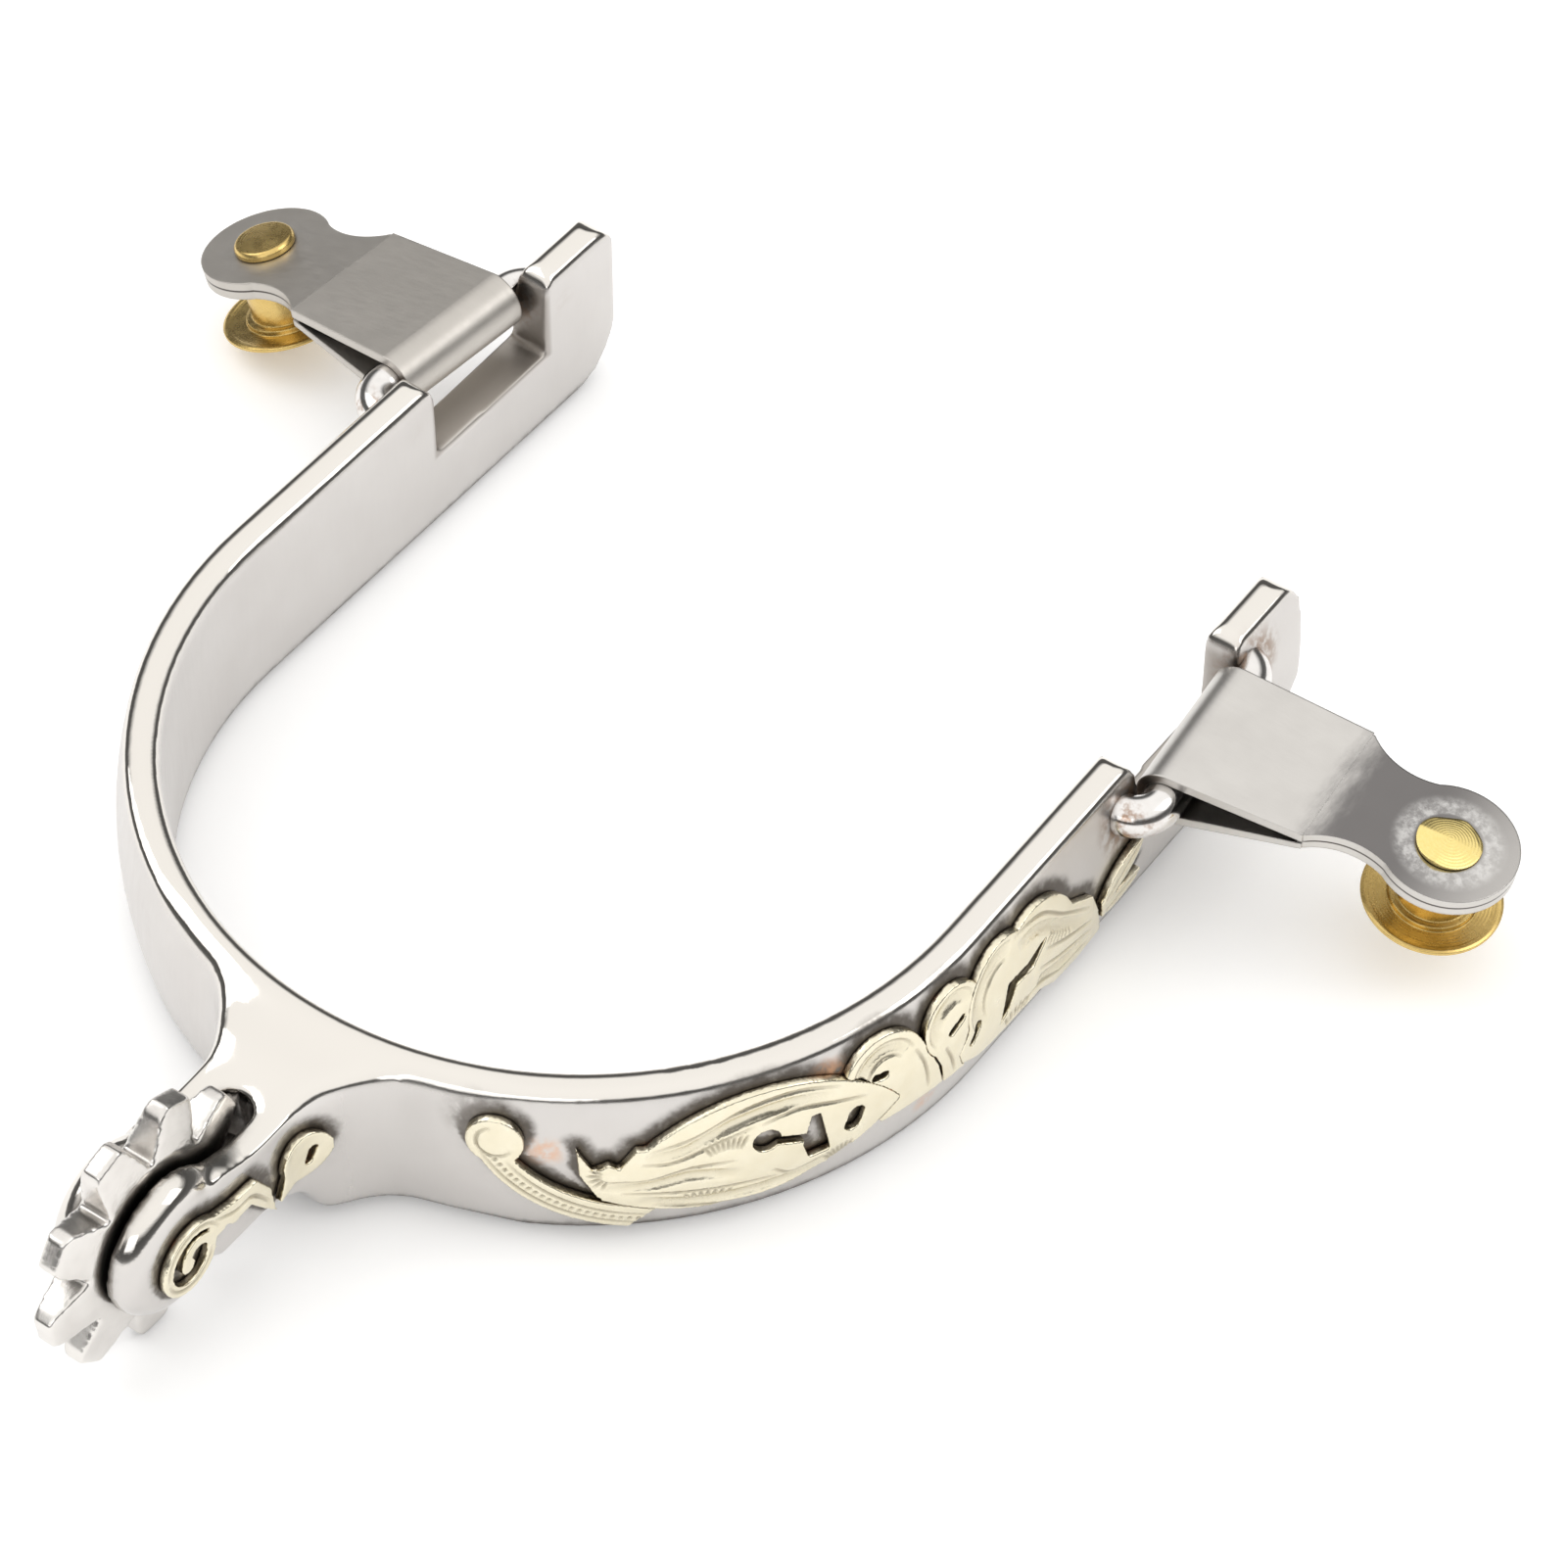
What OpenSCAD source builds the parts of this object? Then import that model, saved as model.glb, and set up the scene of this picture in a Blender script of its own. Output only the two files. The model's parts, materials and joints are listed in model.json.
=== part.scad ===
// Western spur: a cast heel band with a forked shank and a turning rowel, two folded
// sheet hangers that swing on staples, a riveted brass button on each hanger, and
// pierced overlay pieces on one side of the band and shank.
// Millimetres. Origin: centre of the heel curve, half way up the band.
// +X towards the decorated branch, +Y from the heel to the open end, +Z up.

/* [Heel band] */
// Inner radius of the heel curve
inner_radius = 37.2; // [30:0.1:45]
// Distance from the centre of the heel curve to the branch tips
branch_reach = 51.3; // [40:0.1:60]
// Height of the band
band_height = 18.0; // [12:0.1:24]
// Thickness of the band at its top and bottom edges
edge_thickness = 3.2; // [2:0.1:5]
// How far the outer face swells at half height
crown = 1.2; // [0.4:0.1:2]
// Angle by which each branch leans inwards
toe_in = 1.1; // [0:0.1:4]
// Rounding of the band's long edges
edge_round = 1.3; // [0.4:0.1:1.5]
// Radius of the cut-back lower corner at each tip
tip_corner = 8.0; // [2:0.5:9]
// Radius of the upper corner at each tip
tip_top = 3.0; // [1:0.1:4]

/* [Hinge notch] */
// Length of the notch at the top edge
notch_length = 16.5; // [15.5:0.1:20]
// Depth of the notch
notch_depth = 9.0; // [8:0.1:11]
// Rounding of the band's top edge where it drops into the notch
notch_round = 1.9; // [0.5:0.1:2]
// Distance of the notch and hinge ahead of the heel curve's centre
hinge_reach = 33.1; // [28:0.1:36]

/* [Shank and fork] */
// Height of the rowel pin above the middle of the band
pin_height = 3.9; // [0:0.1:6]
// Distance of the rowel pin behind the heel curve's centre
pin_reach = 61.5; // [58:0.1:66]
// Width across the two ears
fork_width = 9.6; // [8:0.1:12]
// Width of the rowel slot
slot_width = 4.2; // [3.6:0.1:5]
// Radius of each round ear
ear_radius = 7.0; // [5:0.1:8]
// Radius of the rowel pin
pin_radius = 1.6; // [1:0.1:2]

/* [Rowel] */
// Radius over the rowel's points
rowel_radius = 12.8; // [10:0.1:13]
// Radius at the root of the points
rowel_root = 8.2; // [6:0.1:9]
// Number of points
rowel_points = 9; // [6:1:12]
// Thickness of the rowel's centre
rowel_thickness = 3.4; // [2:0.1:3.6]
// Thickness of the rowel at its points
rowel_edge = 1.8; // [1:0.1:3]

/* [Hangers] */
// Radius of the staple rod
rod_radius = 1.9; // [1.2:0.1:2.2]
// Distance of the rod's centre line outside the band's inner face
rod_offset = 4.9; // [4.5:0.1:6]
// Depth of the rod's centre line below the band's top edge
rod_drop = 3.85; // [3:0.05:5]
// Angle by which each rod leans inwards towards the tips
rod_toe_in = 6; // [0:0.5:8]
// Thickness of the hanger sheet
sheet = 0.9; // [0.6:0.05:1.2]
// Width of the hanger at the fold
hanger_width = 14.6; // [12:0.1:15]
// Width of the hanger at its shoulders
shoulder_width = 13.6; // [11:0.1:15]
// Distance from the rod to the shoulders
shoulder_reach = 12.9; // [10:0.1:15]
// Distance from the rod to the button
button_reach = 23.8; // [20:0.1:28]
// Radius of the hanger's round end
lobe_radius = 6.3; // [5.5:0.1:7]
// Downward bend of the round end
lobe_bend = 6; // [0:0.5:12]
// Rest angle of the right hanger above level
right_rest = -2; // [-40:1:60]
// Rest angle of the left hanger above level
left_rest = -12.5; // [-40:0.5:60]

/* [Buttons] */
// Radius of the riveted head
head_radius = 2.95; // [2:0.05:4]
// Radius of the neck under the hanger
neck_radius = 3.3; // [2.5:0.1:4]
// Strap gap between the hanger and the flange
strap_gap = 5.6; // [4:0.1:7]
// Radius of the flange
flange_radius = 6.35; // [5.5:0.05:7]

/* [Overlay] */
// Thickness of the overlay sheet
overlay = 0.8; // [0.5:0.1:1]

/* [Hidden] */
$fn = 64;
half_height = band_height / 2;
mid_thickness = edge_thickness + crown;
outer_radius = inner_radius + mid_thickness;
crown_radius = (half_height * half_height + crown * crown) / (2 * crown);
branch_length = (branch_reach - inner_radius * sin(toe_in)) / cos(toe_in);
hinge_x = inner_radius + rod_offset;
hinge_z = half_height - rod_drop;
notch_middle = hinge_reach - inner_radius * sin(toe_in);
knuckle_bore = rod_radius + 0.05;
knuckle_radius = knuckle_bore + sheet;
// The lower leaf climbs at this angle until it touches the upper leaf at the shoulders.
leaf_climb = 17.2;
shoulder_arc = 7.0;
fit = 0.02;
pin_bore = pin_radius + 0.06;
slot_root = pin_reach - rowel_radius - 0.9;
shank_fillet = 9.0;
steel = [0.78, 0.77, 0.75];
silver = [0.86, 0.82, 0.70];
brass = [0.78, 0.60, 0.25];

// ---- heel band -------------------------------------------------------------------------

// Thickness of the crowned section, swollen by grow, at height z.
function section_thickness(z, grow = 0) =
  mid_thickness + grow - crown_radius + sqrt(crown_radius * crown_radius - z * z);

// Cross-section of the band as radius and height: flat inside, crowned outside.
module crowned_section(grow = 0) {
  intersection() {
    translate([inner_radius, -half_height]) square([mid_thickness + grow, band_height]);
    translate([inner_radius + mid_thickness + grow - crown_radius, 0]) circle(crown_radius, $fn = 200);
  }
}

// What rounding takes off a corner, with the arc's centre at the origin. The corner points
// to +X +Y, turned by so many quarter turns.
module corner_waste(r, turns = 0) {
  rotate(90 * turns) difference() {
    square(r + 2);
    circle(r);
  }
}

module band_section() {
  corner_z = half_height - edge_round;
  outer_x = inner_radius + section_thickness(corner_z) - edge_round;
  difference() {
    crowned_section();
    translate([outer_x, corner_z]) corner_waste(edge_round);
    translate([inner_radius + edge_round, corner_z]) corner_waste(edge_round, 1);
    translate([inner_radius + edge_round, -corner_z]) corner_waste(edge_round, 2);
    translate([outer_x, -corner_z]) corner_waste(edge_round, 3);
  }
}

// Carries a section round the heel curve.
module round_heel() {
  rotate([0, 0, 180 - toe_in]) rotate_extrude(angle = 180 + 2 * toe_in, $fn = 180) children();
}

// Places children in the right branch's frame: +Y along the branch from the end of the curve.
module on_branch() {
  rotate([0, 0, toe_in]) children();
}

module branch(length = branch_length) {
  on_branch() translate([0, length, 0]) rotate([90, 0, 0]) linear_extrude(length) children();
}

module both_sides() {
  children();
  mirror([1, 0, 0]) children();
}

// What rounding takes off the right branch's outline as seen from the side, with the arc's
// centre at a distance along the branch and a height.
module outline_waste(along, z, r, turns) {
  on_branch() translate([inner_radius - 1, along, z])
    rotate([90, 0, 90]) linear_extrude(mid_thickness + 2) corner_waste(r, turns);
}

// Rounded nose and rounded corners at the tip of the right branch. Each arc sits a little
// proud, so that it crosses the flat faces instead of only touching them.
module tip_waste() {
  nose = 1.6;
  proud = 0.3;
  outline_waste(branch_length - tip_corner + 0.06, tip_corner - half_height - 0.06, tip_corner, 3);
  outline_waste(branch_length - tip_top + 0.06, half_height - tip_top + 0.06, tip_top, 0);
  on_branch() {
    for (side = [0, 1])
      translate([
        inner_radius + (side == 0 ? mid_thickness - nose + proud : nose - proud),
        branch_length - nose + proud, -half_height - 1
      ]) linear_extrude(band_height + 2) corner_waste(nose, side);
  }
}

// Notch that the hanger's fold swings in, slightly narrower at the bottom.
module hinge_notch() {
  top = notch_length / 2;
  bottom = top - 0.3;
  on_branch() translate([inner_radius - 1, notch_middle, half_height])
    rotate([90, 0, 90]) linear_extrude(mid_thickness + 2)
      polygon([[-top, 1], [-bottom, -notch_depth], [bottom, -notch_depth], [top, 1]]);
  for (side = [0, 1])
    outline_waste(
      notch_middle + (side == 0 ? -1 : 1) * (top + notch_round - 0.05),
      half_height - notch_round + 0.05, notch_round, side
    );
}

module plain_band() {
  round_heel() band_section();
  both_sides() difference() {
    branch() band_section();
    tip_waste();
    hinge_notch();
  }
}

// Root of the shank as seen from above: a neck blended into the band by two fillets.
module shank_plan(fillet = shank_fillet) {
  reach = outer_radius + shank_fillet;
  fillet_x = fork_width / 2 + shank_fillet;
  fillet_y = -sqrt(reach * reach - fillet_x * fillet_x);
  touch = outer_radius / reach * [fillet_x, fillet_y];
  neck = fillet_x - fillet;
  difference() {
    polygon([
      [neck, -pin_reach], [neck, fillet_y], [touch[0], fillet_y], touch,
      [0, -inner_radius - mid_thickness / 2],
      touch - [2 * touch[0], 0], [-touch[0], fillet_y], [-neck, fillet_y], [-neck, -pin_reach]
    ]);
    for (side = [1, -1]) translate([side * fillet_x, fillet_y]) circle(fillet, $fn = 120);
  }
}

// Root of the shank from the side: dips a little on top and is scooped out below.
module shank_side() {
  difference() {
    translate([-pin_reach, -half_height + 0.6]) square([pin_reach - inner_radius - 1, band_height - 1.2]);
    translate([-50.2, 21.2]) circle(14, $fn = 120);
    translate([-52.6, -9.6]) circle(8, $fn = 120);
    translate([-pin_reach - 1, -half_height]) square([5, band_height]);
    translate([-pin_reach - 1, -half_height]) square([8.9, 7.5]);
  }
}

// One ear: a round boss with a domed outer rim.
module ear() {
  depth = (fork_width - slot_width) / 2;
  dome = 2.3;
  translate([slot_width / 2, -pin_reach, pin_height]) rotate([0, 90, 0]) rotate_extrude($fn = 120) {
    square([ear_radius - dome, depth]);
    square([ear_radius, depth - dome]);
    intersection() {
      translate([ear_radius - dome, depth - dome]) circle(dome);
      square(ear_radius + 1);
    }
  }
}

module shank() {
  intersection() {
    translate([0, 0, -half_height]) linear_extrude(band_height) shank_plan();
    translate([-20, 0, 0]) rotate([90, 0, 90]) linear_extrude(40) shank_side();
  }
}

// Slot for the rowel, with a round root.
module rowel_slot() {
  half = slot_width / 2;
  translate([0, 0, -half_height - 2]) linear_extrude(band_height + 4) {
    translate([0, -slot_root - half]) circle(half);
    translate([-half, -pin_reach - 10]) square([slot_width, pin_reach + 10 - slot_root - half]);
  }
}

module heel_band() {
  color(steel) difference() {
    union() {
      plain_band();
      difference() {
        shank();
        rowel_slot();
      }
      both_sides() ear();
    }
    translate([-10, -pin_reach, pin_height]) rotate([0, 90, 0]) cylinder(r = pin_radius + fit, h = 20);
  }
}

// ---- rowel and pin ---------------------------------------------------------------------

// Star with blunt points: straight flanks from a V-shaped root, and a chamfered flat end.
module star() {
  step = 360 / rowel_points;
  shoulder = rowel_radius - 0.9;
  point = [[-0.5, rowel_root], [-0.25, shoulder], [-0.16, rowel_radius], [0.16, rowel_radius], [0.25, shoulder]];
  polygon([
    for (i = [0 : rowel_points - 1])
      for (p = point)
        let (a = (i + p[0]) * step)
          [p[1] * cos(a), p[1] * sin(a)]
  ]);
}

// The rowel thins towards its points on both faces.
module rowel() {
  thinning = (rowel_thickness - rowel_edge) / 2 / (rowel_radius - rowel_root);
  middle = rowel_edge / 2 + thinning * rowel_radius;
  color(steel) translate([0, -pin_reach, pin_height]) rotate([0, 90, 0]) rotate([0, 0, 77]) difference() {
    intersection() {
      translate([0, 0, -rowel_thickness / 2]) linear_extrude(rowel_thickness) star();
      rotate_extrude($fn = 120) polygon([
        [0, -middle], [rowel_radius + 0.1, -rowel_edge / 2], [rowel_radius + 0.1, rowel_edge / 2], [0, middle]
      ]);
    }
    translate([0, 0, -5]) cylinder(r = pin_bore, h = 10);
  }
}

module rowel_pin() {
  color(steel) translate([-fork_width / 2, -pin_reach, pin_height])
    rotate([0, 90, 0]) cylinder(r = pin_radius, h = fork_width);
}

// ---- hinge staples ---------------------------------------------------------------------

// Places children at the right hinge: +Y along the rod, +X outwards.
module at_hinge() {
  translate([hinge_x, hinge_reach, hinge_z]) rotate([0, 0, rod_toe_in]) children();
}

module both_ends() {
  children();
  mirror([0, 1, 0]) children();
}

// Rod with both ends bent in to the band and cut to sit on its outer face.
module staple() {
  straight = 8.0;
  bend = 2.6;
  difference() {
    at_hinge() {
      rotate([90, 0, 0]) cylinder(r = rod_radius, h = 2 * straight, center = true);
      both_ends() {
        translate([-bend, straight, 0])
          rotate_extrude(angle = 90, $fn = 72) translate([bend, 0]) circle(rod_radius, $fn = 48);
        translate([-bend - 2.2, straight + bend, 0]) rotate([0, 90, 0]) cylinder(r = rod_radius, h = 2.2);
      }
    }
    branch() band_section();
    on_branch() translate([inner_radius - 6, 0, -half_height])
      cube([6 + mid_thickness / 2, branch_length, band_height]);
  }
}

module staple_right() {
  color(steel) staple();
}

module staple_left() {
  color(steel) mirror([1, 0, 0]) staple();
}

// ---- hangers and buttons ---------------------------------------------------------------

// Turns children about the rod to an angle above level.
module swung(angle) {
  at_hinge() rotate([0, -angle, 0]) children();
}

// Frame of the round end: origin where the lobe's upper face meets the shoulders.
module on_lobe() {
  translate([shoulder_reach, 0, knuckle_radius - 0.05]) rotate([0, lobe_bend, 0]) children();
}

// Centre of the concave arc that runs from a shoulder corner into the lobe, crossing it slightly.
lobe_span = button_reach - shoulder_reach;
corner_gap = sqrt(lobe_span * lobe_span + shoulder_width * shoulder_width / 4);
arc_far = lobe_radius + shoulder_arc - 0.1;
arc_along = (corner_gap * corner_gap + shoulder_arc * shoulder_arc - arc_far * arc_far) / (2 * corner_gap);
arc_across = sqrt(shoulder_arc * shoulder_arc - arc_along * arc_along);
lobe_dir = [lobe_span, -shoulder_width / 2] / corner_gap;
arc_x = lobe_dir[0] * arc_along - lobe_dir[1] * arc_across;
arc_y = shoulder_width / 2 + lobe_dir[1] * arc_along + lobe_dir[0] * arc_across;

// How far past the shoulders each arc runs before it reaches the lobe.
neck_end = lobe_span + (arc_x - lobe_span) * lobe_radius / arc_far + 0.3;

// The folded sheet seen from the end of the rod, as far as the shoulders.
module fold_section() {
  difference() {
    union() {
      circle(knuckle_radius);
      translate([0, knuckle_bore]) square([shoulder_reach, sheet]);
      rotate(leaf_climb) translate([0, -knuckle_radius]) square([shoulder_reach, sheet]);
    }
    circle(knuckle_bore);
    polygon([
      knuckle_bore * [sin(leaf_climb), -cos(leaf_climb)],
      [shoulder_reach + 1, knuckle_bore], [0, knuckle_bore], [0, 0]
    ]);
  }
}

module flat_plan() {
  polygon([
    [-knuckle_radius - 1, -hanger_width / 2], [0, -hanger_width / 2], [shoulder_reach, -shoulder_width / 2],
    [shoulder_reach, shoulder_width / 2], [0, hanger_width / 2], [-knuckle_radius - 1, hanger_width / 2]
  ]);
}

// Outline of the round end, measured from the shoulders and reaching a little way under them.
module lobe_plan() {
  overlap = 0.4;
  inset = 0.2;
  difference() {
    translate([-overlap, inset - shoulder_width / 2])
      square([neck_end + overlap, shoulder_width - 2 * inset]);
    for (side = [1, -1]) translate([arc_x, side * arc_y]) circle(shoulder_arc, $fn = 120);
  }
  translate([lobe_span, 0]) circle(lobe_radius, $fn = 120);
}

// One sheet folded over the rod, its two leaves meeting at the shoulders and riveted together.
module hanger() {
  intersection() {
    rotate([90, 0, 0]) linear_extrude(hanger_width + 1, center = true) fold_section();
    translate([0, 0, -knuckle_radius - 1]) linear_extrude(2 * knuckle_radius + 2) flat_plan();
  }
  difference() {
    on_lobe() translate([0, 0, -2 * sheet]) linear_extrude(2 * sheet) lobe_plan();
    on_lobe() translate([lobe_span, 0, -5]) cylinder(r = rivet_radius() + fit, h = 10);
  }
}

function rivet_radius() = 1.8;

// Turned stud: riveted head on top, neck through the strap, dished flange below.
module button() {
  under = -2 * sheet;
  seat = under - strap_gap;
  on_lobe() translate([lobe_span, 0, 0]) rotate_extrude($fn = 96) polygon([
    [0, 0.9], [head_radius - 0.3, 0.9], [head_radius, 0.6], [head_radius, 0],
    [rivet_radius(), 0], [rivet_radius(), under], [neck_radius, under],
    [neck_radius, seat + 0.3], [neck_radius + 0.7, seat + 0.3], [neck_radius + 0.7, seat - 0.15],
    [flange_radius - 0.5, seat - 0.1], [flange_radius, seat],
    [flange_radius, seat - 0.5], [flange_radius - 1.2, seat - 1.1], [0, seat - 1.1]
  ]);
}

module hanger_right() {
  color(steel) swung(right_rest) hanger();
}

module hanger_left() {
  color(steel) mirror([1, 0, 0]) swung(left_rest) hanger();
}

module button_right() {
  color(brass) swung(right_rest) button();
}

module button_left() {
  color(brass) mirror([1, 0, 0]) swung(left_rest) button();
}

// ---- overlays --------------------------------------------------------------------------

// A skin of overlay sheet lying on the right half of the band's crowned face.
module band_skin() {
  difference() {
    union() {
      round_heel() crowned_section(overlay);
      branch() crowned_section(overlay);
    }
    round_heel() crowned_section();
    branch() crowned_section();
  }
}

// Cuts children, drawn as forward distance and height, out of the skin at an angle round the
// heel from the shank.
module skin_piece(angle) {
  intersection() {
    band_skin();
    rotate([0, 0, angle - 90]) translate([inner_radius - 8, 0, 0])
      rotate([90, 0, 90]) linear_extrude(20) children();
  }
}

// The same on the straight branch, where forward distance is counted from the heel curve's centre.
module branch_piece() {
  intersection() {
    band_skin();
    translate([inner_radius - 4, 0, 0]) rotate([90, 0, 90]) linear_extrude(12) children();
  }
}

module disc_at(x, z, r) {
  translate([x, z]) circle(r, $fn = 60);
}

// A narrow slot with round ends.
module slit(x, z, angle, length, width) {
  translate([x, z]) rotate(angle) {
    square([length, width], center = true);
    for (end = [1, -1]) translate([end * length / 2, 0]) circle(width / 2, $fn = 24);
  }
}

// A curled head and the long stem that runs under the broad leaf.
module overlay_curl() {
  color(silver) difference() {
    skin_piece(32) {
      intersection() {
        difference() {
          disc_at(11.2, 11.4, 19.2);
          disc_at(10.6, 12.6, 16.8);
        }
        polygon([[-8, -8], [6.0, -8], [9.0, -4.6], [9.0, 3], [-8, 3]]);
      }
      disc_at(-4.3, 4.2, 2.5);
    }
    skin_piece(52) leaf_outline();
  }
}

module leaf_outline() {
  intersection() {
    disc_at(3.8, -7.1, 14.6);
    disc_at(1.5, 18.8, 24.4);
  }
  polygon([
    [-11.8, 0.8], [-10.4, -2.2], [-8, -3.4], [-3, -4.6], [-3, 3.0],
    [-7.0, 3.6], [-8.5, 1.4], [-9.3, 2.0], [-10.6, 1.2], [-11.9, 3.7]
  ]);
}

// A broad pierced leaf with a fish-tail end.
module overlay_leaf() {
  color(silver) skin_piece(52) difference() {
    leaf_outline();
    disc_at(4.1, 1.8, 1.25);
    slit(6.2, 1.0, -20, 3.0, 0.9);
    polygon([[7.4, -0.4], [7.9, -2.4], [9.9, -2.4], [9.0, 2.9], [8.2, 2.9]]);
    slit(12.2, 0.2, 70, 1.3, 1.5);
  }
}

// The first small curl, tucked behind the broad leaf.
module overlay_scroll_small() {
  color(silver) difference() {
    skin_piece(78) difference() {
      union() {
        disc_at(-3.4, 3.6, 4.2);
        polygon([[-4, -2.4], [3.0, -2.6], [2.4, 0.2], [0.6, 5.0], [-1.6, 6], [-6, 2]]);
      }
      slit(-4.0, 3.6, -10, 1.0, 0.8);
    }
    skin_piece(52) leaf_outline();
    skin_piece(84) scroll_mid_outline();
  }
}

module scroll_mid_outline() {
  disc_at(0.2, 4.0, 3.6);
  polygon([[-3.4, 4], [-1.6, -0.4], [-1.2, -2.9], [1.4, -3.0], [2.6, 0.4], [3.8, 4.6]]);
}

// A comma-shaped curl with one slanted eye.
module overlay_scroll_mid() {
  color(silver) difference() {
    skin_piece(84) difference() {
      scroll_mid_outline();
      slit(0.4, 3.2, 25, 1.5, 0.8);
    }
    branch_piece() scroll_front_outline();
  }
}

module scroll_front_outline() {
  disc_at(2.6, 2.1, 5.2);
  disc_at(7.6, 1.1, 5.8);
  polygon([
    [-3.3, -2.6], [-1, -3.8], [3, -4.4], [8.4, -4.4], [11.5, -6.6], [15.1, -7.1], [18.6, -6.2],
    [17.4, -2.2], [16.4, 0.6], [12.0, 3.4], [8, 5.8], [-1.2, 4.0], [-2.4, 1.2], [-3.8, -1.0]
  ]);
}

// The largest curl, with a long pierced eye and a pointed front edge.
module overlay_scroll_front() {
  color(silver) branch_piece() difference() {
    scroll_front_outline();
    slit(-1.6, -0.2, 55, 1.6, 0.8);
    polygon([[2.2, -2.8], [3.3, -2.2], [4.6, 0.4], [7.2, 0.2], [9.3, 2.4], [8.2, 2.3], [6.2, 1.5], [3.2, 1.8]]);
  }
}

module leaf_lens(x, z, angle, length, width) {
  bow = (length * length / 4 + width * width / 4) / width;
  translate([x, z]) rotate(angle) intersection_for(side = [1, -1])
    translate([0, side * (bow - width / 2)]) circle(bow, $fn = 60);
}

// Two narrow leaves on one stalk, running up to the hinge.
module overlay_sprig() {
  color(silver) branch_piece() {
    leaf_lens(21.3, -0.7, 28, 7.2, 2.4);
    leaf_lens(21.4, -3.6, 8, 6.0, 2.2);
    polygon([[18.5, -4.5], [20.4, -3.6], [20.0, -1.3], [18.1, -2.2]]);
  }
}

// Teardrop on the flank where the shank leaves the band.
module overlay_shank_leaf() {
  color(silver) intersection() {
    difference() {
      linear_extrude(band_height, center = true) shank_plan(shank_fillet - overlay);
      linear_extrude(band_height, center = true) shank_plan();
    }
    translate([fork_width / 2 - 1, 0, 0]) rotate([90, 0, 90]) linear_extrude(5) difference() {
      union() {
        disc_at(-47.0, 2.2, 2.6);
        polygon([[-49.0, 2.6], [-50.4, -0.8], [-46.8, 0.4]]);
      }
      slit(-46.4, 2.0, 65, 1.2, 0.9);
    }
  }
}

// Half of a ring between two radii, above or below its centre.
module half_ring(outer, inner, above) {
  difference() {
    circle(outer, $fn = 64);
    circle(inner, $fn = 64);
    translate([-outer - 1, above ? -outer - 1 : 0]) square([2 * outer + 2, outer + 1]);
  }
}

// Spiral over the right ear and pin, with a tail that runs forward along the neck.
module overlay_shank_scroll() {
  color(silver) translate([fork_width / 2, 0, 0]) rotate([90, 0, 90]) linear_extrude(overlay) {
    translate([-61.2, 3.1]) {
      half_ring(3.9, 2.8, true);
      translate([-0.6, 0]) half_ring(3.3, 2.2, false);
      translate([0.55, 0]) half_ring(2.15, 1.05, true);
      disc_at(-0.9, -0.1, 0.8);
    }
    polygon([
      [-58.6, 4.6], [-56.2, 2.6], [-54.0, 2.8], [-52.4, 0.6], [-50.9, -1.2], [-51.4, 2.4],
      [-53.0, 5.0], [-56.0, 5.2], [-60.2, 6.4]
    ]);
  }
}

heel_band();
rowel();
rowel_pin();
staple_left();
staple_right();
hanger_left();
hanger_right();
button_left();
button_right();
overlay_curl();
overlay_leaf();
overlay_scroll_small();
overlay_scroll_mid();
overlay_scroll_front();
overlay_sprig();
overlay_shank_leaf();
overlay_shank_scroll();
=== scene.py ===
"""A western spur: polished steel band and shank, rowel, two hangers with brass buttons, silver overlay.

Lengths are in metres. Where a name ends in _mm, or a function says so, they are in millimetres.
"""

import json
import math

import bmesh
import bpy
from mathutils import Matrix, Vector
from mathutils.kdtree import KDTree

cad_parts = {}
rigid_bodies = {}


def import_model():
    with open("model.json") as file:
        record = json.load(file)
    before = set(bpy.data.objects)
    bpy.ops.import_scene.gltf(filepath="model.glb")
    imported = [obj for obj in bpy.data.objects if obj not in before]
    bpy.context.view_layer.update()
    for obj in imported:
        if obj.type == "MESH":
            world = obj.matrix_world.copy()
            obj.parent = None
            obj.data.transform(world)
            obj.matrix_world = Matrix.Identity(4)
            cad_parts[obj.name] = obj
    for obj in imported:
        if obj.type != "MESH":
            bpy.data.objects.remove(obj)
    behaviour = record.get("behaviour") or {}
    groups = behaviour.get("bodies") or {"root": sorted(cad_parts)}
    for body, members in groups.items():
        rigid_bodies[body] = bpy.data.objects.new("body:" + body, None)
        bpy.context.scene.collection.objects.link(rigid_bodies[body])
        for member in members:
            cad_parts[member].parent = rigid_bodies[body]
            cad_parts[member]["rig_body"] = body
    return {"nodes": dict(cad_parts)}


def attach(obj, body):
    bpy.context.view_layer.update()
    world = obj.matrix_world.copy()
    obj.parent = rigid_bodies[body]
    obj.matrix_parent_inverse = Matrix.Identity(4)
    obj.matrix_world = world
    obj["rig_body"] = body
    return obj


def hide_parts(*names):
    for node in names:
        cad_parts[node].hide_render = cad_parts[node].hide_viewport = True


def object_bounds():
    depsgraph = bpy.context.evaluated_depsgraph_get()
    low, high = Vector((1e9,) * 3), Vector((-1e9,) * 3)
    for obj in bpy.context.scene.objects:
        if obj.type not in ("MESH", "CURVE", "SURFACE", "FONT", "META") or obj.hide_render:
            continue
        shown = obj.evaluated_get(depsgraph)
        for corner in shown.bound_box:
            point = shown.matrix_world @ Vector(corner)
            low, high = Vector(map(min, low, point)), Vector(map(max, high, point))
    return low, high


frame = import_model()
cad_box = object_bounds()
nodes = frame["nodes"]
MM = 0.001

# ---- sizes shared with the CAD part, in millimetres ----------------------------------------

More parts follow.
